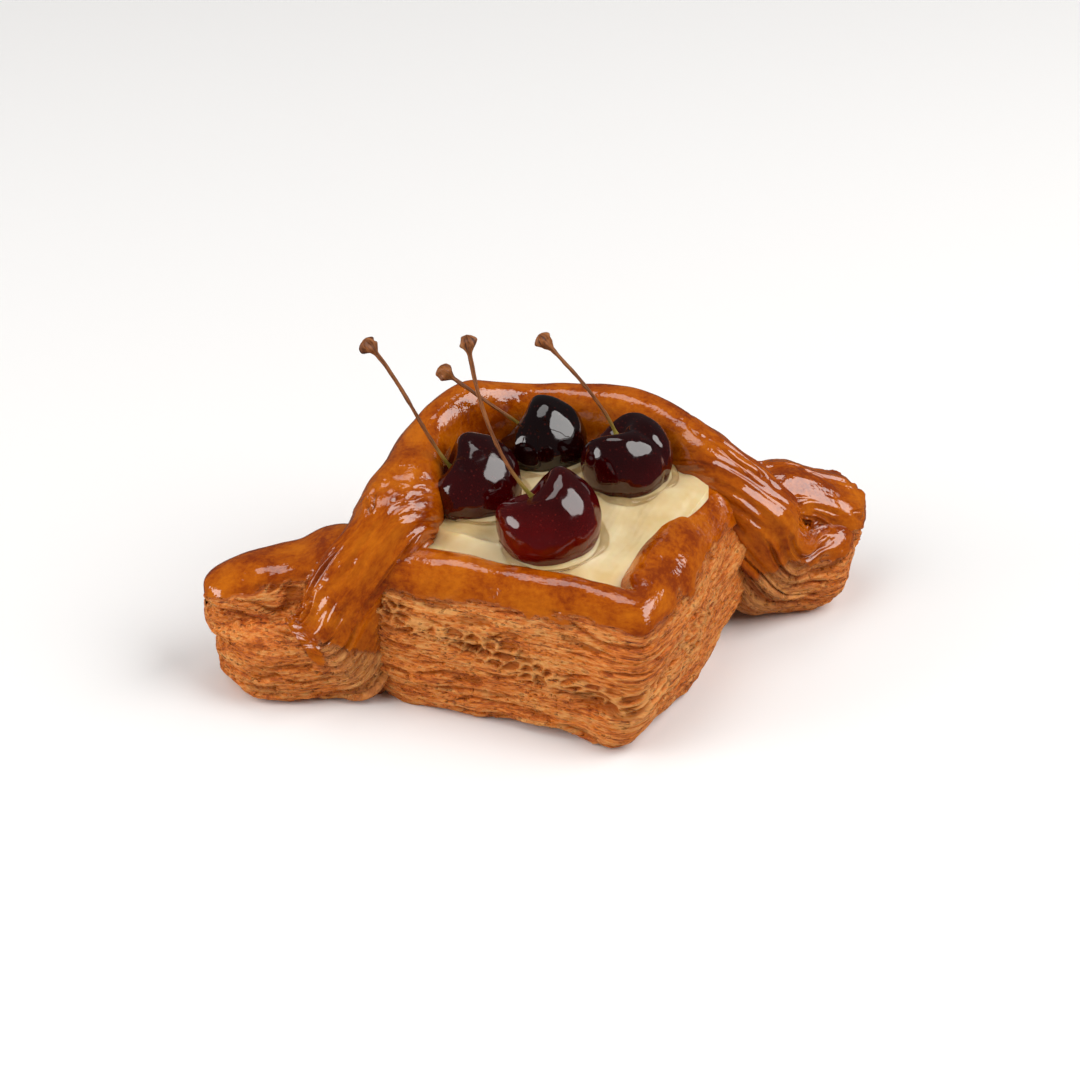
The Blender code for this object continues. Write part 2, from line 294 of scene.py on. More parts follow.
class Nodes:
    """Short ways to add and join the nodes of one material."""

    def __init__(self, name: str) -> None:
        """Starts a material with a Principled shader.

        Args:
            name: The material's name.
        """
        self.material = bpy.data.materials.new(name)
        self.material.use_nodes = True
        self.tree = self.material.node_tree
        self.shader = self.tree.nodes["Principled BSDF"]

    def add(self, kind: str, **settings: object) -> bpy.types.Node:
        """Adds a node of a kind and sets its properties.

        Args:
            kind: The node's type.
            settings: Its properties, by name.

        Returns:
            The node.
        """
        node = self.tree.nodes.new(kind)
        for key, value in settings.items():
            setattr(node, key, value)
        return node

    def join(self, source: bpy.types.NodeSocket, target: bpy.types.NodeSocket) -> None:
        """Links one socket to another."""
        self.tree.links.new(source, target)

    def feed(self, target: bpy.types.NodeSocket, value: object) -> None:
        """Links a socket to a target, or sets it when the value is plain.

        Args:
            target: The input that is fed.
            value: A socket, a number, a colour or a vector.
        """
        if isinstance(value, bpy.types.NodeSocket):
            self.join(value, target)
        else:
            target.default_value = value

    def object_place(self) -> bpy.types.NodeSocket:
        """Object coordinates, in metres."""
        return self.add("ShaderNodeTexCoord").outputs["Object"]

    def value_of(self, key: str) -> bpy.types.NodeSocket:
        """A number carried by the piece's own vertices."""
        return self.add("ShaderNodeAttribute", attribute_name=key).outputs["Fac"]

    def vector_of(self, key: str) -> bpy.types.NodeSocket:
        """A vector carried by the piece's own vertices."""
        return self.add("ShaderNodeAttribute", attribute_name=key).outputs["Vector"]

    def stretched(self, vector: bpy.types.NodeSocket, scale: Point) -> bpy.types.NodeSocket:
        """A vector scaled along each of its directions.

        Args:
            vector: The vector.
            scale: The factor along each direction.

        Returns:
            The scaled vector.
        """
        node = self.add("ShaderNodeMapping")
        self.join(vector, node.inputs["Vector"])
        node.inputs["Scale"].default_value = scale
        return node.outputs["Vector"]

    def noise(
        self, vector: bpy.types.NodeSocket, scale: float, detail: float = 3.0, rough: float = 0.55
    ) -> bpy.types.NodeSocket:
        """Smooth noise from 0 to 1.

        Args:
            vector: Where the noise is read.
            scale: Cells for each unit of the vector.
            detail: How many finer layers are added.
            rough: How strong the finer layers are.

        Returns:
            The noise.
        """
        node = self.add("ShaderNodeTexNoise")
        self.join(vector, node.inputs["Vector"])
        node.inputs["Scale"].default_value = scale
        node.inputs["Detail"].default_value = detail
        node.inputs["Roughness"].default_value = rough
        return node.outputs["Fac"]

    def ramp(self, value: bpy.types.NodeSocket, stops: list[tuple[float, Color]]) -> bpy.types.NodeSocket:
        """A colour that runs through stops as a value rises.

        Args:
            value: The value that picks the colour.
            stops: Pairs of a value and its colour, in rising order.

        Returns:
            The colour.
        """
        node = self.add("ShaderNodeValToRGB")
        elements = node.color_ramp.elements
        while len(elements) < len(stops):
            elements.new(0.5)
        for element, (place, color) in zip(elements, stops):
            element.position = place
            element.color = (*color, 1.0)
        self.join(value, node.inputs["Fac"])
        return node.outputs["Color"]

    def spread(
        self, value: bpy.types.NodeSocket, low: float, high: float, start: float = 0.0, end: float = 1.0
    ) -> bpy.types.NodeSocket:
        """A value mapped smoothly from one range to another, and kept inside it.

        Args:
            value: The value.
            low: Start of the range it comes from.
            high: End of that range.
            start: The result at its start.
            end: The result at its end.

        Returns:
            The mapped value.
        """
        node = self.add("ShaderNodeMapRange", interpolation_type="SMOOTHSTEP")
        self.join(value, node.inputs["Value"])
        for key, number in (("From Min", low), ("From Max", high), ("To Min", start), ("To Max", end)):
            node.inputs[key].default_value = number
        return node.outputs["Result"]

    def blend(self, share: object, first: object, second: object, mode: str = "MIX") -> bpy.types.NodeSocket:
        """Two colours mixed.

        Args:
            share: How much of the second shows, from 0 to 1.
            first: A colour or a socket.
            second: Another one.
            mode: How they are mixed.

        Returns:
            The mixed colour.
        """
        node = self.add("ShaderNodeMix", data_type="RGBA", blend_type=mode)
        self.feed(node.inputs["Factor"], share)
        self.feed(node.inputs[6], first if isinstance(first, bpy.types.NodeSocket) else (*first, 1.0))
        self.feed(node.inputs[7], second if isinstance(second, bpy.types.NodeSocket) else (*second, 1.0))
        return node.outputs[2]

    def sum(self, operation: str, first: object, second: object) -> bpy.types.NodeSocket:
        """A sum of two numbers, by a named operation.

        Args:
            operation: What is done with the two.
            first: A number or a socket.
            second: Another one.

        Returns:
            The result.
        """
        node = self.add("ShaderNodeMath", operation=operation)
        self.feed(node.inputs[0], first)
        self.feed(node.inputs[1], second)
        return node.outputs[0]

    def bump(
        self, height: bpy.types.NodeSocket, depth: float, below: bpy.types.NodeSocket | None = None
    ) -> bpy.types.NodeSocket:
        """A bumped normal, its depth in metres.

        Args:
            height: The relief, from 0 to 1.
            depth: How deep the whole relief is.
            below: Another bumped normal that this one lies on.

        Returns:
            The normal.
        """
        node = self.add("ShaderNodeBump")
        self.join(height, node.inputs["Height"])
        node.inputs["Distance"].default_value = depth
        if below is not None:
            self.join(below, node.inputs["Normal"])
        return node.outputs["Normal"]

    def set(self, **numbers: object) -> None:
        """Sets the shader's sockets by name, with an underscore for each space."""
        for key, value in numbers.items():
            self.feed(self.shader.inputs[key.replace("_", " ")], value)


@dataclass(frozen=True)
class DoughFinish:
    """Baked laminated dough: a brown crust that gives way to paler leaves on the sides, with painted
    highlights on raised leaves and ridges and painted shade in cracks, pits, pores and creases.

    Attributes:
        name: The material's name.
        glazed: True for the part under clear glaze.
    """

    name: str
    glazed: bool
    crust_dark: Color = (0.240, 0.034, 0.0005)
    crust_mid: Color = (0.400, 0.078, 0.0008)
    crust_light: Color = (0.540, 0.135, 0.003)
    skin: Color = (0.520, 0.185, 0.045)
    edge: Color = (0.270, 0.042, 0.004)
    leaf_dark: Color = (0.480, 0.094, 0.010)
    leaf_mid: Color = (0.850, 0.220, 0.027)
    leaf_light: Color = (0.960, 0.450, 0.130)
    # Painted shade colour for cracks, pits and air pockets.
    recess_shade: Color = (0.480, 0.110, 0.006)
    burnt: Color = (0.130, 0.018, 0.006)

    def build(self) -> bpy.types.Material:
        """Makes the material.

        Returns:
            The dough's material, which reads the strips' own values and grain.
        """
        n = Nodes(self.name)
        grain = n.vector_of("grain")
        crust = n.value_of("crust")
        depth = n.value_of("depth")
        web_highlight = n.value_of("web_highlight")
        mottle = n.noise(n.stretched(grain, (0.85, 1.0, 1.0)), 1.0, 8.0, 0.72)
        broad = n.noise(n.stretched(grain, (0.11, 0.14, 0.14)), 1.0, 5.0, 0.62)
        tone = n.sum("ADD", n.sum("MULTIPLY", mottle, 0.38), n.sum("MULTIPLY", broad, 0.66))
        crust_color = n.ramp(
            tone, [(0.42, self.crust_dark), (0.515, self.crust_mid), (0.64, self.crust_light)]
        )
        fine = n.noise(n.stretched(grain, (0.40, 2.1, 0.9)), 1.0, 8.0, 0.72)
        wide = n.noise(n.stretched(grain, (0.06, 0.45, 0.2)), 1.0, 4.0, 0.6)
        streak = n.sum("ADD", n.sum("MULTIPLY", fine, 0.68), n.sum("MULTIPLY", wide, 0.36))
        leaf_color = n.ramp(
            streak, [(0.43, self.leaf_dark), (0.51, self.leaf_mid), (0.62, self.leaf_light)]
        )
        # Painted highlight: raised leaves and their lips are lightened towards the light leaf colour.
        leaf_color = n.blend(n.spread(depth, 0.10, 0.50, 0.0, 0.50), leaf_color, self.leaf_light)
        # Painted shade: cracks, splits, honeycomb pits and air pockets are darkened.
        leaf_color = n.blend(n.spread(depth, -1.0, -0.2, 0.80, 0.0), leaf_color, self.recess_shade)
        # Painted highlight: the ridges between honeycomb pits are lightened.
        leaf_color = n.blend(n.sum("MULTIPLY", web_highlight, 0.75), leaf_color, self.leaf_light)
        pores = n.add("ShaderNodeTexVoronoi")
        n.join(n.stretched(grain, (0.75, 1.35, 0.8)), pores.inputs["Vector"])
        pores.inputs["Scale"].default_value = 1.0
        pore_bump_and_shade = n.spread(pores.outputs["Distance"], 0.38, 0.12)
        # Painted shade: the middles of the pores are darkened; the same pattern also bumps the surface.
        leaf_color = n.blend(n.sum("MULTIPLY", pore_bump_and_shade, 0.22), leaf_color, self.leaf_dark)
        scorch = n.noise(n.stretched(grain, (0.09, 1.1, 0.4)), 1.0, 7.0, 0.74)
        leaf_color = n.blend(n.spread(scorch, 0.585, 0.64, 0.0, 0.80), leaf_color, self.burnt)
        plain = n.blend(n.spread(fine, 0.40, 0.62, 0.0, 0.55), self.skin, self.leaf_light)
        # Painted shade: the smooth skin of the folds is darkened in its creases.
        plain = n.blend(n.spread(depth, -0.7, 0.0, 0.7, 0.0), plain, self.leaf_dark)
        leaf_color = n.blend(n.sum("MULTIPLY", n.value_of("skin"), 0.85), leaf_color, plain)
        ground = n.blend(n.spread(crust, 0.05, 0.55), leaf_color, self.edge)
        part = n.blend(0.55, leaf_color, ground)
        n.set(Base_Color=n.blend(n.spread(crust, 0.30, 0.75), part, crust_color))
        fibre = n.noise(n.stretched(grain, (0.55, 3.6, 1.6)), 1.0, 6.0, 0.72)
        if self.glazed:
            ripple = n.noise(n.stretched(grain, (0.34, 0.40, 0.40)), 1.0, 3.0, 0.55)
            n.set(Roughness=0.6, Specular_IOR_Level=0.0, Coat_Weight=1.0, Coat_Roughness=0.03, Coat_IOR=1.75)
            n.set(Normal=n.bump(mottle, 0.00015))
            n.set(Coat_Normal=n.bump(ripple, 0.00026))
        else:
            sheen = n.spread(n.noise(n.stretched(grain, (0.4, 1.6, 1.0)), 1.0, 4.0), 0.40, 0.62, 0.18, 0.60)
            n.set(Roughness=sheen, IOR=1.42)
            leaf_bump = n.bump(fibre, 0.0007)
            n.set(Normal=n.bump(pore_bump_and_shade, 0.00045, leaf_bump))
        return n.material


@dataclass(frozen=True)
class CustardFinish:
    """Pale yellow custard with a soft sheen and faint piping lines."""

    name: str = "custard"
    pale: Color = (0.80, 0.66, 0.39)
    deep: Color = (0.66, 0.47, 0.21)

    def build(self) -> bpy.types.Material:
        """Makes the material.

        Returns:
            The custard's material.
        """
        n = Nodes(self.name)
        place = n.object_place()
        cloud = n.noise(place, 90.0, 3.0)
        n.set(Base_Color=n.ramp(cloud, [(0.35, self.deep), (0.65, self.pale)]))
        n.set(Roughness=n.spread(n.noise(place, 400.0, 2.0), 0.3, 0.7, 0.28, 0.42), IOR=1.45)
        n.set(Subsurface_Weight=0.25, Subsurface_Radius=(0.004, 0.002, 0.0008), Subsurface_Scale=1.0)
        n.set(Normal=n.bump(n.noise(place, 500.0, 3.0), 0.00010))
        return n.material


@dataclass(frozen=True)
class CherryFinish:
    """Ripe cherry skin: dark red, glossy, finely speckled, with painted light that brightens it towards the
    bottom of the fruit.
    """

    name: str
    deep: Color
    bright: Color

    def build(self) -> bpy.types.Material:
        """Makes the material.

        Returns:
            The skin's material, lighter where the piece's painted glow value says: painted light that
            brightens the fruit towards its bottom.
        """
        n = Nodes(self.name)
        place = n.object_place()
        painted_glow = n.value_of("painted_glow")
        cloud = n.noise(place, 170.0, 4.0, 0.6)
        tone = n.sum("ADD", n.sum("MULTIPLY", painted_glow, 0.8), n.sum("MULTIPLY", cloud, 0.35))
        # Painted light from the glow value, with random tone from the cloud noise.
        skin = n.ramp(tone, [(0.25, self.deep), (0.95, self.bright)])
        dots = n.add("ShaderNodeTexVoronoi")
        n.join(place, dots.inputs["Vector"])
        dots.inputs["Scale"].default_value = 900.0
        speckle = n.spread(dots.outputs["Distance"], 0.10, 0.24, 0.16, 0.0)
        n.set(Base_Color=n.blend(speckle, skin, (0.30, 0.03, 0.02)))
        n.set(Roughness=n.spread(n.noise(place, 260.0, 3.0), 0.3, 0.7, 0.04, 0.12), IOR=1.70)
        n.set(Normal=n.bump(n.noise(place, 230.0, 2.0), 0.00016))
        return n.material


@dataclass(frozen=True)
class StalkFinish:
    """Dry cherry stalk: green at the fruit, brown and streaked towards the picked end."""

    name: str = "cherry_stalk"
    green: Color = (0.30, 0.24, 0.035)
    brown: Color = (0.33, 0.105, 0.022)
    bark: Color = (0.060, 0.016, 0.008)

    def build(self) -> bpy.types.Material:
        """Makes the material.

        Returns:
            The stalk's material.
        """
        n = Nodes(self.name)
        along = n.value_of("along")
        streak = n.noise(n.stretched(n.vector_of("grain"), (0.30, 2.5, 2.5)), 1.0, 4.0, 0.6)
        brown = n.ramp(streak, [(0.36, self.bark), (0.58, self.brown), (0.75, (0.30, 0.14, 0.05))])
        fresh = n.spread(n.sum("ADD", along, n.sum("MULTIPLY", streak, 0.18)), 0.10, 0.36, 1.0, 0.0)
        n.set(Base_Color=n.blend(fresh, brown, self.green))
        n.set(Roughness=0.5, IOR=1.45)
        n.set(Normal=n.bump(streak, 0.00020))
        return n.material


@dataclass(frozen=True)
class GlazeFinish:
    """Clear apricot glaze that has pooled."""

    name: str = "clear_glaze"
    tint: Color = (0.95, 0.86, 0.72)

    def build(self) -> bpy.types.Material:
        """Makes the material.

        Returns:
            The glaze's material.
        """
        n = Nodes(self.name)
        n.set(Base_Color=(*self.tint, 1.0), Roughness=0.04, IOR=1.42, Transmission_Weight=1.0)
        return n.material


@dataclass(frozen=True)
class FloorFinish:
    """A plain pale floor."""

    name: str = "pale_floor"
    tone: Color = (0.91, 0.91, 0.91)

    def build(self) -> bpy.types.Material:
        """Makes the material.

        Returns:
            The floor's material.
        """
        n = Nodes(self.name)
        n.set(Base_Color=(*self.tone, 1.0), Roughness=0.9, Specular_IOR_Level=0.1)
        return n.material


# -------------------------------------------------------------------- dough


class Strip(Enum):
    """The two long strips of the folded dough."""

    FRONT = "front"
    BACK = "back"


@dataclass(frozen=True)
class Station:
    """One cross-section of a strip and how its surface is there.

    Attributes:
        centre: The section's middle.
        across: Half its width, as a vector to its outer side.
        rise: Half its height, as a vector.
        crust_out: How high on the outer side the crust starts, from -1 at the foot to 1 at the top.
        crust_in: The same on the inner side.
        leaves: How strong the layers' relief is.
        comb: How strong the honeycomb of air pockets is.
        folds: How strong the long stretched folds are.
        skin: How far the surface is the smooth stretched skin of a fold, not leaves.
        glaze_z: The height above which it is glazed on every side.
    """

    centre: Point
    across: Point
    rise: Point
    crust_out: float = 0.7
    crust_in: float = 0.3
    leaves: float = 1.0
    comb: float = 0.3
    folds: float = 0.0
    skin: float = 0.0
    glaze_z: float = 99.0

    def row(self) -> list[float]:
        """The station's numbers in one row."""
        looks = [self.crust_out, self.crust_in, self.leaves, self.comb, self.folds, self.skin, self.glaze_z]
        return [*self.centre, *self.across, *self.rise, *looks]


@dataclass
class DoughStrip:
    """A long strip of laminated dough, standing on its edge.

    Attributes:
        kind: Which strip it is.
        stations: Its cross-sections.
        squareness: How square its section is below, from 2 for an ellipse.
        dome: How square its section is above.
        seen: The side share that is finely divided, 1 for the outer side and -1 for the inner.
        cap_length: How far each end takes to narrow, in millimetres.
        rings: Rings along it.
        sides: Places round each ring.
        seed: The seed of its relief.
        belt: How steeply the belt of air pockets climbs away from the sharp corner.
        pockets: Large air holes, each as its place, half width, half height and depth.
    """

    kind: Strip
    stations: list[Station]
    squareness: float = 3.8
    dome: float = 2.4
    seen: float = 1.0
    cap_length: float = 7.0
    rings: int = 420
    sides: int = 236
    seed: int = 5
    belt: float = 0.22
    pockets: list[tuple[float, ...]] = field(default_factory=list)

    def places(self) -> tuple[np.ndarray, np.ndarray]:
        """Where the rings lie along the stations, and how wide each is.

        Returns:
            Each ring's place, counted in stations, and its share of the full width.
        """
        points = np.array([s.centre for s in self.stations], float)
        last = len(points) - 1
        start = self.cap_length / np.linalg.norm(points[1] - points[0])
        end = self.cap_length / np.linalg.norm(points[last] - points[last - 1])
        cap_rings = 16
        quarter = 0.5 * math.pi * np.arange(cap_rings) / cap_rings
        dense = np.linspace(start, last - end, 4000)
        path = smooth_run(points, dense)
        steps = np.linalg.norm(np.diff(path, axis=0), axis=1)
        reach = np.concatenate([[0.0], np.cumsum(steps)])
        body = np.interp(np.linspace(0, reach[-1], self.rings - 2 * cap_rings + 1), reach, dense)
        places = np.concatenate(
            [start * (1 - np.cos(quarter)), body, (last - end * (1 - np.cos(quarter)))[::-1]]
        )
        widths = np.concatenate([np.sin(quarter), np.ones(len(body)), np.sin(quarter)[::-1]])
        return places, widths

    def section(self, half_width: float, half_height: float) -> tuple[np.ndarray, np.ndarray]:
        """Evenly spaced places round one section.

        Args:
            half_width: Half the section's width, in millimetres.
            half_height: Half its height.

        Returns:
            The side share and the rise share of each place, from -1 to 1.
        """
        angle = np.linspace(0.0, 2 * math.pi, 1441)
        power = np.where(np.sin(angle) > 0, 2 / self.dome, 2 / self.squareness)
        side = signed_power(np.cos(angle), power)
        lift = signed_power(np.sin(angle), power)
        steps = np.hypot(np.diff(side) * half_width, np.diff(lift) * half_height)
        steps *= np.where(side[1:] * self.seen > -0.5, 1.0, 0.45) * np.where(lift[1:] < -0.9, 0.35, 1.0)
        reach = np.concatenate([[0.0], np.cumsum(steps)])
        wanted = np.linspace(0.0, reach[-1], self.sides + 1)
        return np.interp(wanted, reach, side), np.interp(wanted, reach, lift)

    def build(self, leaves: bpy.types.Material, crust: bpy.types.Material) -> bpy.types.Object:
        """Sweeps the strip, raises its relief, and dresses it.

        Args:
            leaves: The finish of the bare layers.
            crust: The finish of the glazed crust.

        Returns:
            The finished piece.
        """
        places, widths = self.places()
        rows = smooth_run(np.array([s.row() for s in self.stations]), places)
        centre, across, rise = rows[:, 0:3], rows[:, 3:6], rows[:, 6:9]
        looks = rows[:, 9:]
        half_width = np.linalg.norm(across, axis=1)
        half_height = np.linalg.norm(rise, axis=1)
        side = np.empty((len(places), self.sides + 1))
        lift = np.empty_like(side)
        for i, (wide, high) in enumerate(zip(half_width, half_height)):
            side[i], lift[i] = self.section(wide, high)
        full = widths[:, None]
        points = (
            centre[:, None]
            + (side * full)[..., None] * across[:, None]
            + (lift * (0.8 + 0.2 * full))[..., None] * rise[:, None]
        )
        travel = np.concatenate([[0.0], np.cumsum(np.linalg.norm(np.diff(centre, axis=0), axis=1))])
        grain = np.stack(
            [np.broadcast_to(travel[:, None], side.shape), lift * half_height[:, None],
             side * full * half_width[:, None]], axis=2,
        )
        outward = grid_normals(points, True)
        middle = points - centre[:, None]
        if np.mean(np.sum(outward * middle, axis=2)) < 0:
            outward = -outward
        raised, values = self.relief(points, side, lift, grain, looks)
        points = points + outward * raised[..., None]
        points[..., 2] = np.maximum(points[..., 2], 0.0)
        lattice = Lattice(self.sides, len(places) - 1)
        piece = lattice.finish(self.kind.value + "_strip", points, values, {"grain": grain})
        piece.data.materials.append(leaves)
        piece.data.materials.append(crust)
        return piece

    def relief(
        self, points: np.ndarray, side: np.ndarray, lift: np.ndarray, grain: np.ndarray, looks: np.ndarray
    ) -> tuple[np.ndarray, dict[str, np.ndarray]]:
        """Works out how far each place stands out, and where the crust is.

        Args:
            points: The smooth surface, in millimetres.
            side: Side share of each place.
            lift: Rise share of each place.
            grain: Distance along, height in the layers, and distance across.
            looks: The stations' surface numbers, one row for each ring.

        Returns:
            The height of the relief, and the values that the finish reads.
        """
        noise = Grain(self.seed)
        along, layer, over = grain[..., 0], grain[..., 1], grain[..., 2]
        x, y, z = points[..., 0], points[..., 1], points[..., 2]
        crust_out, crust_in, leaves, comb, folds, skin, glaze_z = (looks[:, i][:, None] for i in range(7))
        outer = smoothstep(-0.7, 0.7, side)
        edge = crust_in * (1 - outer) + crust_out * outer
        ragged = 0.13 * noise.layered(along / 6.0, layer / 3.5, over / 6.0, 6)
        crust = smoothstep(-0.26, 0.12, lift - edge + 1.4 * ragged)
        crust = np.maximum(crust, smoothstep(-4.0, 2.5, z - glaze_z + 16.0 * ragged))

        swell = 0.50 * noise.at(x / 17, y / 17, z / 15) + 0.42 * noise.at(x / 8 + 9, y / 8, z / 8)
        grit = 0.07 * noise.layered(along / 4.5, layer / 2.6, over / 2.6, 3)
        wander = 0.5 * noise.at(along / 9, layer / 5, over / 5)
        fold = noise.layered(along / 26, layer / 2.1 + 5 + wander, over / 3.6, 2)
        creases = 1.1 * fold - 1.5 * smoothstep(0.10, 0.45, fold) * smoothstep(0.80, 0.45, fold)

        warp = 1.8 * noise.at(along / 16, layer / 9, over / 20)
        warp += 0.7 * noise.at(along / 6, layer / 4, 3 + over / 9)
        thick = layer + warp
        bulge = 0.70 * noise.at(along / 24, thick / 3.8, over / 20)
        leaf = self.lips(thick / 2.3 + 0.9 * noise.at(along / 30, thick / 5, over / 30))
        thin = self.lips(thick / 1.05 + 1.2 * noise.at(along / 9, thick / 3, over / 9))
        strong = smoothstep(-0.3, 0.6, noise.at(along / 12, thick / 2.3 + 8, over / 12))
        lip = noise.layered(along / 4.5, thick / 1.5, over / 5, 4)
        split = smoothstep(0.50, 0.75, noise.at(along / 8 + 40, thick / 1.2, over / 8))
        near, second = noise.cells(along / 3.4 + 0.3 * warp, thick / 2.0, over / 3.0)
        belt = np.exp(-(((z - 12.5 - self.belt * np.abs(x - 4)) / 3.4) ** 2)) + 0.35 * comb
        patches = smoothstep(0.25, 0.60, belt * (0.75 + 0.6 * noise.at(along / 9 + 7, thick / 4.0, over / 9)))
        pit = smoothstep(0.05, 0.32, second - near) * patches
        # Ridges between the pits, which the finish paints lighter as a painted highlight.
        web_highlight = (1 - smoothstep(0.03, 0.17, second - near)) * patches
        # depth is relief and also the finish's mask of painted light: raised leaves get a painted highlight,
        # and cracks, pits and pockets get painted shade.
        depth = leaves * (0.30 * strong * leaf + 0.13 * thin + 0.30 * lip - 0.7 * split) - 0.85 * pit
        depth = depth * (1 - 0.8 * skin) + 0.7 * skin * np.minimum(creases + 0.2, 0.0)
        loose = 1 - smoothstep(0.15, 0.95, crust)
        raised = swell + crust * grit + loose * (bulge * (1 - skin) + depth) + folds * creases
        for ax, ay, az, wide, high, deep in self.pockets:
            gap = ((np.hypot(x - ax, y - ay) / wide) ** 2 + ((z - az) / high) ** 2) ** 1.5
            hole = np.exp(-gap)
            raised -= deep * hole
            # The finish paints each pocket darker, as painted shade.
            depth -= hole
        bare = np.clip(skin + 0 * lift, 0, 1) * smoothstep(-0.4, 0.2, skin - 0.3 + 3.0 * ragged)
        return raised, {"crust": crust, "depth": depth, "web_highlight": web_highlight * (1 - bare), "skin": bare}

    @staticmethod
    def lips(phase: np.ndarray) -> np.ndarray:
        """Overhanging leaf edges: a slow rise and a sharp fall in each whole step of the phase."""
        part = phase - np.floor(phase)
        return part**0.8 * smoothstep(1.0, 0.80, part) * 1.5 - 0.6


def front_strip() -> DoughStrip:
    """The strip of the near walls: it runs from the left ear's upper fold round the sharp corner.

    Returns:
        The strip, with the walls reaching the ground and the ends forming the ears' upper folds.
    """
    wall, half, middle = 6.5, 17.2, 17.2
    left, corner = np.array([-35, -0.5]), np.array([4.0, -32.2])
    lobe = {"crust_out": 0.80, "crust_in": 0.0, "comb": 0.3}
    flaky = {"crust_out": 0.2, "crust_in": 0.0, "comb": 0.6, "leaves": 1.3, "folds": 0.5}
    side_look = {"crust_out": 0.72, "crust_in": 0.2, "comb": 0.45}
    inward = np.array([-0.63, 0.77])
    stations = [
        Station((-73, 19, 17.0), (0.5, -7.5, 0), (0, 0, 6.0), **lobe),
        Station((-63, 18, 17.8), (0, -9.5, 0), (0, 0, 9.0), **lobe),
        Station((-53, 16.5, 18.8), (-1.5, -10.5, 0), (0, 0, 10.5), **lobe),
        Station((-45.5, 13, 21.5), (-3, -9.5, 0), (0, 0, 12.5), **lobe),
    ]
    for share, lean, wide in ((0.0, 1.2, 8.2), (0.33, 1.4, 7.7), (0.6, 1.6, 7.0), (0.82, 1.8, 6.5)):
        spot = left + (corner - left) * share + (wide - wall) * np.array([0.62, 0.78])
        rise = (lean * 0.62 + 1.2 * share, lean * 0.78, half)
        across = (-0.62 * wide, -0.78 * wide, 0)
        stations.append(Station((*spot, middle), across, rise, **side_look))
    stations.append(Station((*corner, middle), (0, -1.3 * wall, 0), (3.0, 0.8, half), **side_look))
    near = ((0.2, 1.8, 8.5, 0.4), (0.43, 0.9, 9.8, 1.6), (0.7, 0.1, 11.2, 3.6), (1.0, -0.6, 11.8, 5.2))
    for share, lean, wide, shift in near:
        spot = corner + (np.array([37.3, 0.8]) - corner) * share + shift * inward
        across = (0.63 * wide, -0.77 * wide, 0)
        stations.append(Station((*spot, middle + share), across, (lean, 0, half), **side_look))
    stations += [
        Station((49, 10, 20.0), (4.5, -8, 0), (0, 0, 11.5), **flaky),
        Station((60, 13, 19.6), (1, -10.5, 0), (0.5, 0, 10.0), **flaky),
        Station((69, 12, 16.8), (0, -10.2, 0), (0.5, 0, 8.8), **flaky),
        Station((77, 11.5, 15), (0, -7.0, 0), (0.5, 0, 7.0), **flaky),
    ]
    holes = [
        (-3.2, -35.4, 11.5, 4.6, 2.1, 3.0),
        (-24.2, -17.6, 17.5, 2.4, 1.0, 1.6),
        (21, -26, 20, 2.4, 0.9, 1.4),
    ]
    return DoughStrip(Strip.FRONT, stations, seed=11, pockets=holes)


def back_strip() -> DoughStrip:
    """The strip that crosses over the ends of the front strip and arches round the back.

    Returns:
        The strip, with its roots forming the ears' lower folds.
    """
    ear = {"crust_out": 1.3, "crust_in": 1.3, "comb": 0.6}
    band = {"crust_out": -0.2, "crust_in": -0.9, "comb": 0.1, "leaves": 0.5, "folds": 1.0, "skin": 0.8}
    rear = {"crust_out": 0.55, "crust_in": -0.9, "comb": 0.3}
    torn = {"crust_out": 1.2, "crust_in": 1.2, "comb": 0.8, "leaves": 1.3}
    return DoughStrip(
        Strip.BACK,
        [
            Station((-73.2, 13.5, 9), (0, 7.5, 0), (-1.0, 0, 6.5), **ear),
            Station((-65.5, 9.5, 8.2), (0, 9.2, 0), (-0.8, 0, 8.8), **ear),
            Station((-55.5, 6.8, 8.6), (0, 9, 0), (-3.5, 0, 9.6), 1.3, 1.3, 1.0, 0.7, 0.5, 0.1, 17.0),
            Station((-48, 3.8, 10.8), (0, 9.2, 0), (-8.5, -1, 10.5), 1.3, 1.3, 0.7, 0.4, 1.3, 0.8, 19.0),
            Station((-42.2, 4.5, 23), (-3.5, 7.5, 0.5), (-9.8, -3, 6.5), glaze_z=16.5, **band),
            Station((-35.4, 7.4, 31), (-7.8, 5, -1), (-3.6, -3, 11), 0.0, -0.9, 0.5, 0.1, 0.9),
            Station((-29.2, 16.4, 24.5), (-8.2, 5.4, 0), (0, -0.5, 20.5), **rear),
            Station((-20.5, 29.8, 23.7), (-4.6, 5.6, 0), (0, 0, 23.7), **rear),
            Station((-8, 38, 24.8), (-2.2, 6.5, 0), (0, 0, 25.0), **rear),
            Station((6, 38.8, 23.5), (1.0, 6.3, 0), (0, 0, 23.5), **rear),
            Station((19.5, 32.5, 23.4), (4, 6.0, 0), (0, 0, 23.5), **rear),
            Station((31.5, 22.5, 24), (5.4, 4.7, 0), (0, 0, 22.2), **rear),
            Station((38.5, 10.5, 29), (6.8, 4, 0), (1, -1, 13.5), 0.3, -0.9, 0.6, 0.2, 0.3),
            Station((45.5, 3, 24), (5, 6.5, -1), (7, -4, 7.5), glaze_z=19.0, **band),
            Station((50.5, 2.5, 12), (1, 8.5, 0), (8, -1.5, 9.0), 1.3, 1.3, 0.5, 0.2, 1.0, 1.0, 18.0),
            Station((58, 4.6, 9.8), (0, 8.8, 0), (4.5, 0, 10), glaze_z=15.0, folds=0.7, skin=0.4, **torn),
            Station((66, 6.5, 9.2), (0, 9.2, 0), (2.5, 0, 9.7), glaze_z=14.0, **torn),
            Station((71.5, 10, 10), (0, 7.5, 0), (2.5, 0, 8), glaze_z=14.0, **torn),
        ],
        squareness=3.0,
        dome=2.7,
        seen=-1.0,
        rings=520,
        sides=190,
        seed=23,
    )


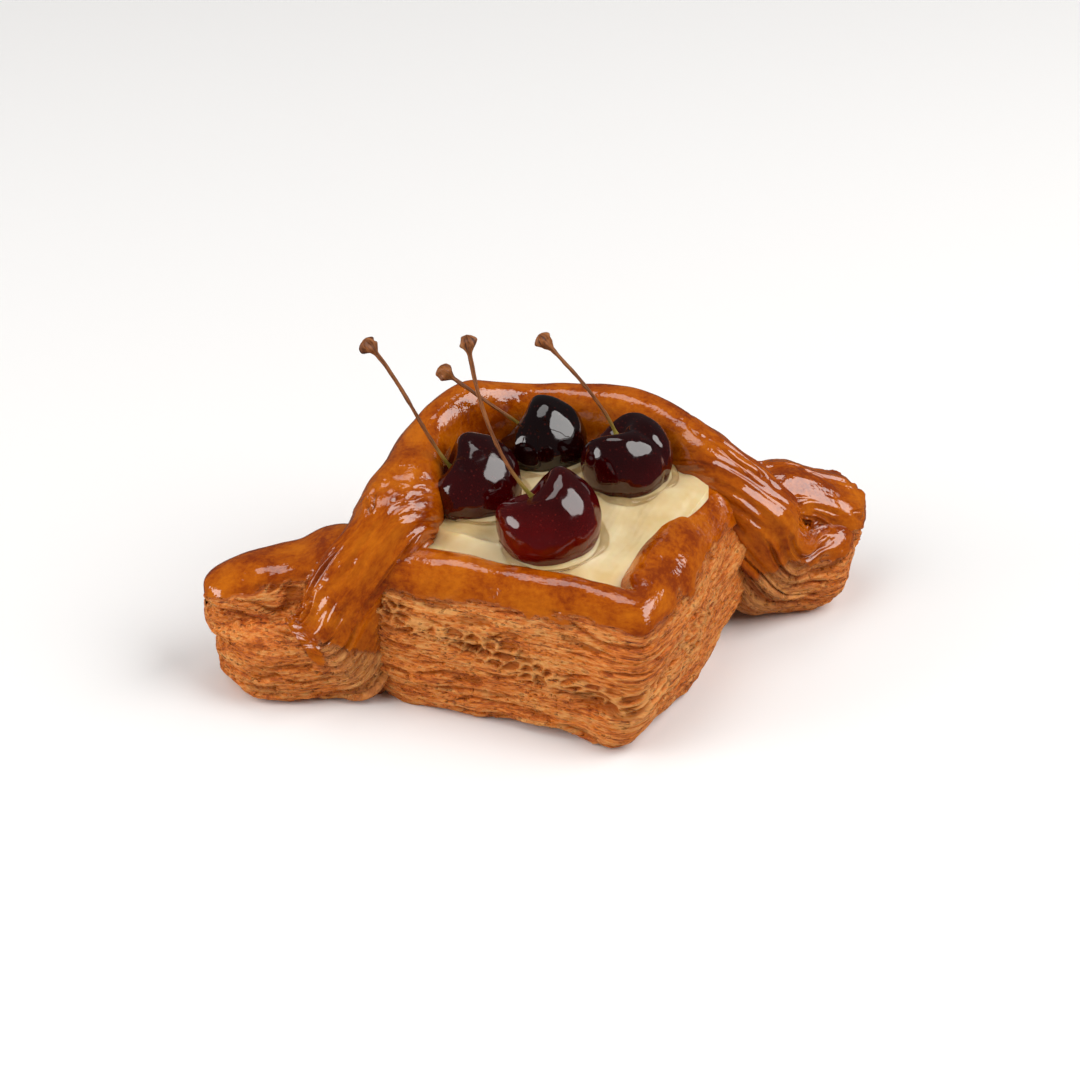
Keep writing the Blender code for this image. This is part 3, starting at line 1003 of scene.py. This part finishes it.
@dataclass
class DoughBase:
    """The thin floor of dough under the filling, with a flat underside.

    Attributes:
        half_length: Half its length, from ear to ear.
        front: Its reach to the front corner.
        back: Its reach to the back.
        thickness: Its thickness.
    """

    half_length: float = 38.0
    front: float = 33.0
    back: float = 38.0
    thickness: float = 13.0

    def build(self, leaves: bpy.types.Material) -> bpy.types.Object:
        """Shapes a ball into the rhombic floor.

        Args:
            leaves: The finish of the bare layers.

        Returns:
            The finished piece.
        """
        bm = bmesh.new()
        bmesh.ops.create_uvsphere(bm, u_segments=120, v_segments=32, radius=1.0)
        for key in ("crust", "depth", "web_highlight", "skin"):
            bm.verts.layers.float.new(key)
        grain = bm.verts.layers.float_vector.new("grain")
        for vertex in bm.verts:
            x, y, z = vertex.co
            angle, flat = math.atan2(y, x), math.hypot(x, y)
            depth_of = self.back if y > 0 else self.front
            fullness = 1.45 if y > 0 else 1.12
            c, s = abs(math.cos(angle)) / self.half_length, abs(math.sin(angle)) / depth_of
            reach = (c**fullness + s**fullness) ** (-1 / fullness) * (flat**0.4 if flat > 1e-6 else 0.0)
            half = 0.5 * self.thickness
            lift = half + math.copysign(abs(z) ** 0.3, z) * half
            vertex.co = (reach * math.cos(angle), reach * math.sin(angle), lift)
            vertex[grain] = vertex.co
        piece = finished_piece("dough_base", bm)
        piece.data.materials.append(leaves)
        return piece


# ------------------------------------------------------------------ filling


@dataclass
class Cherry:
    """One cherry on its stalk.

    Attributes:
        name: Which one it is.
        centre: Its middle.
        radius: Its widest radius.
        axis: The direction its stalk leaves in.
        seam: The direction its seam faces.
        stalk_points: The stalk's course after it leaves the fruit.
        finish: Its skin.
        squash: How much narrower it is from seam to back than from cheek to cheek.
    """

    name: str
    centre: Point
    radius: float
    axis: Point
    seam: Point
    stalk_points: list[Point]
    finish: CherryFinish
    squash: float = 0.90
    height: float = 0.92
    hollow: float = 0.30
    stalk_radius: float = 0.40
    seed: int = 0

    def frame(self) -> np.ndarray:
        """The fruit's own directions.

        Returns:
            Three rows: to its seam, to its cheek and up its axis.
        """
        up = np.array(Vector(self.axis).normalized())
        seam = np.array(self.seam) - up * float(np.dot(self.seam, up))
        seam /= np.linalg.norm(seam)
        return np.stack([seam, np.cross(up, seam), up])

    def build_fruit(self) -> bpy.types.Object:
        """Shapes a ball into a heart-shaped fruit with a seam.

        Returns:
            The finished piece.
        """
        bm = bmesh.new()
        bmesh.ops.create_uvsphere(bm, u_segments=176, v_segments=110, radius=1.0)
        painted_glow = bm.verts.layers.float.new("painted_glow")
        x, y, z = np.array([vertex.co[:] for vertex in bm.verts]).T
        flat = np.hypot(x, y)
        angle = np.arctan2(y, x)
        noise = Grain(self.seed + 70)
        lumps = 1 + 0.022 * noise.at(x * 1.7, y * 1.7, z * 1.7) + 0.009 * noise.at(x * 4, y * 4, z * 4)
        upper = smoothstep(-0.25, 0.9, z)
        widen = (1 + 0.10 * upper - 0.10 * smoothstep(0.0, -1.0, z)) * lumps
        groove = 0.045 * np.exp(-((angle / 0.13) ** 2)) * flat
        shoulder = (0.10 - 0.13 * np.cos(2 * angle)) * upper * smoothstep(0.15, 0.75, flat)
        lift = self.height * z * lumps + shoulder
        lift -= np.where(z > 0, self.hollow * np.exp(-((flat / 0.30) ** 2)), 0.0)
        lift -= 0.09 * np.exp(-((angle / 0.35) ** 2)) * upper * flat
        out = (widen - groove)
        local = np.stack([x * out * self.squash, y * out, lift], axis=1)
        turned = local @ self.frame() * self.radius + np.array(self.centre)
        # Painted light: the skin is marked lighter towards the bottom of the fruit.
        glow = np.clip(0.60 - 0.65 * (turned[:, 2] - self.centre[2]) / self.radius, 0, 1)
        for vertex, place, value in zip(bm.verts, turned, glow.tolist()):
            vertex.co = place
            vertex[painted_glow] = value
        piece = finished_piece("fruit_" + self.name, bm)
        piece.data.materials.append(self.finish.build())
        return piece

    def build_stalk(self, material: bpy.types.Material) -> bpy.types.Object:
        """Sweeps the thin stalk and swells its picked end into a lobed knob.

        Args:
            material: The stalk's finish.

        Returns:
            The finished piece.
        """
        up = np.array(Vector(self.axis).normalized())
        foot = np.array(self.centre) + up * (self.radius * (self.height - self.hollow) + 0.2)
        points = np.array([foot, foot + 2.5 * up, *self.stalk_points])
        steps = np.concatenate([[0.0], np.cumsum(np.linalg.norm(np.diff(points, axis=0), axis=1))])
        steps /= steps[-1]
        sides, rows = 22, 190
        share = np.linspace(0.0, 1.0, rows + 1)
        path = np.stack([np.polyval(np.polyfit(steps, column, 3), share) for column in points.T], axis=1)
        path += (foot - path[0]) * (1 - share[:, None]) ** 6
        along = np.gradient(path, axis=0)
        along /= np.linalg.norm(along, axis=1, keepdims=True)
        first = np.cross(along, np.array([0.3, -0.8, 0.5]))
        first /= np.linalg.norm(first, axis=1, keepdims=True)
        other = np.cross(along, first)
        noise = Grain(self.seed + 90)
        run, turn = np.meshgrid(share, np.linspace(0.0, 2 * math.pi, sides + 1), indexing="ij")
        length = float(np.sum(np.linalg.norm(np.diff(path, axis=0), axis=1)))
        left = (1 - run) * length
        lobes = 1 + 0.42 * np.cos(5 * turn + 3 * self.seed) * smoothstep(3.2, 1.0, left)
        lobes = lobes + 0.35 * noise.at(np.cos(turn) * 1.8 + self.seed, np.sin(turn) * 1.8, left * 0.9)
        uneven = 1 + 0.14 * noise.at(np.cos(turn), np.sin(turn), run * length / 2.2)
        thick = self.stalk_radius * uneven * (1 + 0.25 * smoothstep(0.5, 1.0, run))
        thick += 1.15 * smoothstep(4.4, 1.9, left) * lobes
        thick += 0.28 * smoothstep(2.6, 0.0, run * length)
        close = np.minimum(left / 1.5, run * length / 0.4)
        thick *= np.sqrt(np.clip(1 - np.clip(1 - close, 0, 1) ** 2, 0, 1))
        rings = path[:, None] + thick[..., None] * (
            np.cos(turn)[..., None] * first[:, None] + np.sin(turn)[..., None] * other[:, None]
        )
        grain = np.stack([run * length, np.cos(turn), np.sin(turn)], axis=2)
        piece = Lattice(sides, rows).finish("stalk_" + self.name, rings, {"along": run}, {"grain": grain})
        piece.data.materials.append(material)
        return piece


def four_cherries() -> list[Cherry]:
    """The four cherries.

    Returns:
        Front, left, back and right, in that order.
    """
    away = (0.272, 0.803, -0.53)
    black = (0.004, 0.0003, 0.0004)
    return [
        Cherry("front", (-2.9, -5.4, 37.6), 11.0, (-0.437, 0.423, 0.793), away,
               [(-13.2, 0.7, 56.2), (-15.9, 4.0, 64.6), (-16.1, 8.0, 73.1), (-16.9, 10.1, 78.2)],
               CherryFinish("cherry_skin_front", (0.030, 0.0004, 0.0006), (0.165, 0.001, 0.0012)),
               seed=1),
        Cherry("left", (-13.2, 14.2, 38.0), 10.5, (-0.718, 0.372, 0.572), away,
               [(-25.0, 19.3, 55.3), (-32.3, 24.4, 68.5), (-34.6, 25.7, 72.2)],
               CherryFinish("cherry_skin_left", (0.016, 0.0003, 0.0006), (0.085, 0.0006, 0.001)),
               seed=2),
        Cherry("back", (6.0, 24.0, 39.9), 9.5, (-0.632, 0.628, 0.439), away,
               [(-6.9, 31.0, 49.8), (-11.5, 33.2, 53.8), (-15.7, 34.9, 56.9)],
               CherryFinish("cherry_skin_back", black, (0.014, 0.0006, 0.0006)),
               seed=3),
        Cherry("right", (19.4, 8.7, 40.6), 10.1, (-0.270, 0.355, 0.871), (0.574, -0.64, 0.265),
               [(11.0, 12.4, 58.9), (3.1, 16.4, 69.6), (1.5, 17.0, 71.4)],
               CherryFinish("cherry_skin_right", (0.012, 0.0003, 0.0006), (0.066, 0.0006, 0.001)),
               squash=0.95, seed=4),
    ]


@dataclass
class Custard:
    """The custard that fills the box, piped in soft ridges that follow the rim.

    Attributes:
        half_length: Half its length, reaching under the walls.
        front: Its reach to the front corner.
        back: Its reach to the back.
        crown: The height of its middle.
        floor: The height of its underside.
    """

    half_length: float = 35.0
    front: float = 26.5
    back: float = 35.0
    crown: float = 35.6
    floor: float = 14.0
    cells: int = 230

    def height(self, x: np.ndarray, y: np.ndarray, rim: np.ndarray) -> np.ndarray:
        """The custard's upper surface.

        Args:
            x: Places along the length.
            y: Places from front to back.
            rim: How near each place is to the rim, from 0 in the middle to 1.

        Returns:
            The height of each place.
        """
        noise = Grain(41)
        base = self.crown - 6.0 * np.maximum(0, -y) / 41.0 + 0.04 * x
        base = base + 1.8 * np.exp(-(((x - 4) / 11) ** 2) - ((y - 15) / 9) ** 2)
        across = -0.677 * (x - 4) + 0.736 * (y + 32)
        right = smoothstep(-2.0, 6.0, x - 0.2 * y) * smoothstep(22.0, 12.0, y)
        piped = 0.16 * np.sin(across * 0.95 + 1.6 * noise.at(x / 16, y / 16, x * 0))
        piped += 0.015 * np.sin(across * 4.2 + 1.5 * noise.at(x / 9, y / 9, x * 0 + 3))
        swirl = np.hypot(x + 8.0, 1.25 * (y - 8.0)) + 0.8 * noise.at(x / 12, y / 12, x * 0 + 6)
        lobes = 1.3 * np.exp(-(((swirl - 17.0) / 1.7) ** 2)) - 0.5 * np.exp(-(((swirl - 20.0) / 1.2) ** 2))
        left = smoothstep(0.0, -9.0, x)
        soft = 0.8 * noise.at(x / 12, y / 12 + 4, x * 0 + 2) + 0.12 * noise.at(x / 4, y / 4, x * 0)
        low = 3.4 * smoothstep(0.55, 1.0, rim) * smoothstep(16.0, 4.0, y) * smoothstep(12.0, -4.0, x)
        return base + right * piped + left * lobes + soft - low - 1.0 * smoothstep(0.85, 1.0, rim)

    def build(self, cherries: list[Cherry]) -> bpy.types.Object:
        """Shapes a ball into the mound and presses the fruit into it.

        Args:
            cherries: The fruit that sits in it.

        Returns:
            The finished piece.
        """
        bm = bmesh.new()
        bmesh.ops.create_uvsphere(bm, u_segments=self.cells, v_segments=self.cells, radius=1.0)
        ball = np.array([vertex.co[:] for vertex in bm.verts])
        angle = np.arctan2(ball[:, 1], ball[:, 0])
        polar = np.arccos(np.clip(ball[:, 2], -1, 1)) / math.pi
        rim = np.where(polar < 0.8, polar / 0.8, 1.0)
        under = np.clip((polar - 0.8) / 0.2, 0, 1)
        depth_of = np.where(ball[:, 1] > 0, self.back, self.front)
        fullness = np.where(ball[:, 1] > 0, 1.45, 1.12)
        c, s = np.abs(np.cos(angle)) / self.half_length, np.abs(np.sin(angle)) / depth_of
        reach = (c**fullness + s**fullness) ** (-1 / fullness)
        spread = reach * np.where(under > 0, 1 - under, rim)
        x, y = spread * np.cos(angle), spread * np.sin(angle)
        top = self.height(x, y, rim)
        for cherry in cherries:
            away = np.hypot(x - cherry.centre[0], y - cherry.centre[1])
            top += 0.9 * np.exp(-(((away - 0.86 * cherry.radius) / 1.6) ** 2))
        z = np.where(under > 0, self.floor, top)
        for vertex, place in zip(bm.verts, np.stack([x, y, z], axis=1)):
            vertex.co = place
        piece = finished_piece("custard_filling", bm)
        piece.data.materials.append(CustardFinish().build())
        return piece


@dataclass
class GlazeRing:
    """Clear glaze that has gathered where a cherry stands in the custard.

    Attributes:
        cherry: The fruit it runs round.
        bed: The custard it lies on.
        thickness: Its thickness, in millimetres.
    """

    cherry: Cherry
    bed: Custard
    thickness: float = 0.75

    def build(self, material: bpy.types.Material) -> bpy.types.Object:
        """Rolls the ring up and lays it on the custard.

        Args:
            material: The clear glaze.

        Returns:
            The finished piece.
        """
        around, about = 96, 14
        angle, roll = np.meshgrid(
            np.linspace(0, 2 * math.pi, around + 1), np.linspace(0, 2 * math.pi, about + 1), indexing="ij"
        )
        noise = Grain(self.cherry.seed + 120)
        x0, y0, _ = self.cherry.centre
        uneven = 1 + 0.55 * noise.at(2.2 * np.cos(angle), 2.2 * np.sin(angle), angle * 0 + 0.5)
        reach = 0.955 * self.cherry.radius + 0.35 * uneven
        x, y = x0 + reach * np.cos(angle), y0 + reach * np.sin(angle)
        level = self.bed.height(x, y, x * 0 + 0.5)
        thick = self.thickness * uneven
        ring = np.stack(
            [x + thick * np.cos(roll) * np.cos(angle), y + thick * np.cos(roll) * np.sin(angle),
             level + 0.35 + 0.7 * thick * np.sin(roll)], axis=2,
        )
        piece = Lattice(about, around).finish("glaze_" + self.cherry.name, ring, {}, {})
        piece.data.materials.append(material)
        return piece


# ------------------------------------------------------------------- studio


@dataclass
class Studio:
    """The plain floor, the soft lights and the camera.

    Attributes:
        turn: The camera's azimuth, in degrees.
        tilt: Its elevation, in degrees.
        distance: How far it stands from its target, in millimetres.
        lens: Its focal length.
        target: The point it looks at.
    """

    turn: float = -18.7
    tilt: float = 32.0
    distance: float = 750.0
    lens: float = 113.75
    target: Point = (0.83, 14.11, 21.81)

    def axes(self) -> tuple[Vector, Vector, Vector]:
        """The camera's own directions.

        Returns:
            Its right, up and backward directions.
        """
        a, e = math.radians(self.turn), math.radians(self.tilt)
        back = Vector((math.sin(a) * math.cos(e), -math.cos(a) * math.cos(e), math.sin(e)))
        right = Vector((math.cos(a), math.sin(a), 0.0))
        return right, back.cross(right), back

    def build_camera(self) -> None:
        """Places the camera and makes it the scene's."""
        right, up, back = self.axes()
        data = bpy.data.cameras.new("camera")
        data.sensor_width = 36.0
        data.lens = self.lens
        camera = bpy.data.objects.new("camera", data)
        spot = (Vector(self.target) + self.distance * back) * MM
        turned = Matrix((right, up, back)).transposed().to_4x4()
        camera.matrix_world = Matrix.Translation(spot) @ turned
        bpy.context.scene.collection.objects.link(camera)
        bpy.context.scene.camera = camera

    def softbox(
        self, name: str, aim: Point, size: tuple[float, float], glow: float, mirrored: bool = True
    ) -> None:
        """Adds a soft light, 1 m away.

        Args:
            name: The light's name.
            aim: Where it stands, as right, up and towards the camera.
            size: Its width and height, in metres.
            glow: How bright its face is, 1 being white paper in full light.
            mirrored: False if glossy surfaces don't show it.
        """
        right, up, back = self.axes()
        side = (right * aim[0] + up * aim[1] + back * aim[2]).normalized()
        data = bpy.data.lights.new(name, "AREA")
        data.shape = "ELLIPSE"
        data.size, data.size_y = size
        data.energy = glow * math.pi * math.pi / 4 * size[0] * size[1]
        data.color = (1.0, 0.98, 0.96)
        light = bpy.data.objects.new(name, data)
        light.visible_glossy = mirrored
        light.location = side + Vector((0, 0, 0.03))
        light.rotation_mode = "QUATERNION"
        light.rotation_quaternion = side.to_track_quat("Z", "Y")
        bpy.context.scene.collection.objects.link(light)

    def build_lights(self) -> None:
        """Adds the lights and the even light of the room."""
        self.softbox("key", (0.70, 0.54, 0.46), (1.15, 0.90), 4.1)
        self.softbox("side", (-0.93, 0.10, 0.32), (0.62, 0.56), 4.4)
        self.softbox("fill", (-0.62, 0.45, 0.64), (1.2, 1.2), 1.6, mirrored=False)
        self.softbox("top", (-0.14, 0.95, 0.24), (0.60, 0.50), 2.2)
        world = bpy.data.worlds.new("room")
        world.use_nodes = True
        background = world.node_tree.nodes["Background"]
        background.inputs["Color"].default_value = (0.95, 0.97, 1.0, 1.0)
        background.inputs["Strength"].default_value = 0.07
        bpy.context.scene.world = world

    def build_floor(self) -> bpy.types.Object:
        """Lays the pale floor.

        Returns:
            The floor, which isn't part of the object.
        """
        bm = bmesh.new()
        bmesh.ops.create_grid(bm, x_segments=1, y_segments=1, size=6000.0)
        bmesh.ops.translate(bm, vec=(0, 0, -0.05), verts=bm.verts)
        floor = finished_piece("floor", bm)
        floor.data.materials.append(FloorFinish().build())
        floor.visible_glossy = False
        return floor


# --------------------------------------------------------------------- main


def main() -> None:
    """Builds every piece in order and stages it."""
    logging.basicConfig(level=logging.INFO, format="%(message)s")
    studio = Studio()
    studio.build_camera()
    studio.build_lights()
    studio.build_floor()
    bpy.context.scene.view_settings.view_transform = "Standard"

    leaves = DoughFinish("dough_leaves", False).build()
    crust = DoughFinish("dough_crust", True).build()
    strips = [strip.build(leaves, crust) for strip in (front_strip(), back_strip())]
    for piece in (*strips, DoughBase().build(leaves)):
        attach(piece, "root")
        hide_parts("pastry")
        LOG.info("dough: %s, %d faces", piece.name, len(piece.data.polygons))

    cherries = four_cherries()
    custard = Custard().build(cherries)
    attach(custard, "root")
    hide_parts("cream")
    LOG.info("filling: %s, %d faces", custard.name, len(custard.data.polygons))

    stalk_finish = StalkFinish().build()
    for cherry in cherries:
        fruit = cherry.build_fruit()
        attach(fruit, "root")
        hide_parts("cherry_" + cherry.name)
        stalk = cherry.build_stalk(stalk_finish)
        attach(stalk, "root")
        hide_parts("stem_" + cherry.name)
        LOG.info("cherry: %s and its stalk", cherry.name)

    glaze = GlazeFinish().build()
    for cherry in cherries:
        ring = GlazeRing(cherry, Custard()).build(glaze)
        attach(ring, "root")
        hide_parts("cream")
        LOG.info("glaze: %s", ring.name)


if __name__ == "__main__":
    main()
